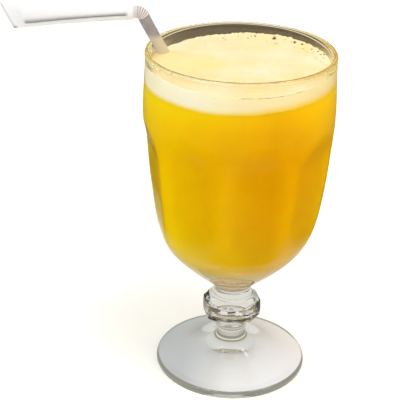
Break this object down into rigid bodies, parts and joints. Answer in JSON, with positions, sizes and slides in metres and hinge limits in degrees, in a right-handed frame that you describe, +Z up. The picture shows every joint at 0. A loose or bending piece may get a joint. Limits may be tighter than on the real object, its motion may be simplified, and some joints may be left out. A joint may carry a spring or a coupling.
{
  "type": "glass of orange juice",
  "caption": "Stemmed, facet-pressed goblet filled with orange juice under a foam layer, with a bent straw in a paper sleeve leaning over the rim.",
  "frame": {"origin": "middle of the foot's flat underside, on the surface that the glass stands on", "axes": "+Z up along the goblet's axis, -Y towards the picture's viewer, -X the way the straw's upper end points"},
  "size_m": [0.1503, 0.0876, 0.1817],
  "materials": {
    "clear_glass": "clear, fire-polished pressed glass",
    "orange_juice": "opaque orange juice, seen through glass",
    "juice_foam": "fine pale cream froth",
    "straw_plastic": "translucent greyish plastic with a pleated bend",
    "sleeve_paper": "thin white paper, slightly see-through"
  },
  "bodies": {
    "root": {"glass": "clear_glass", "juice": "orange_juice", "foam": "juice_foam", "straw": "straw_plastic", "wrapper": "sleeve_paper"}
  },
  "joints": []
}
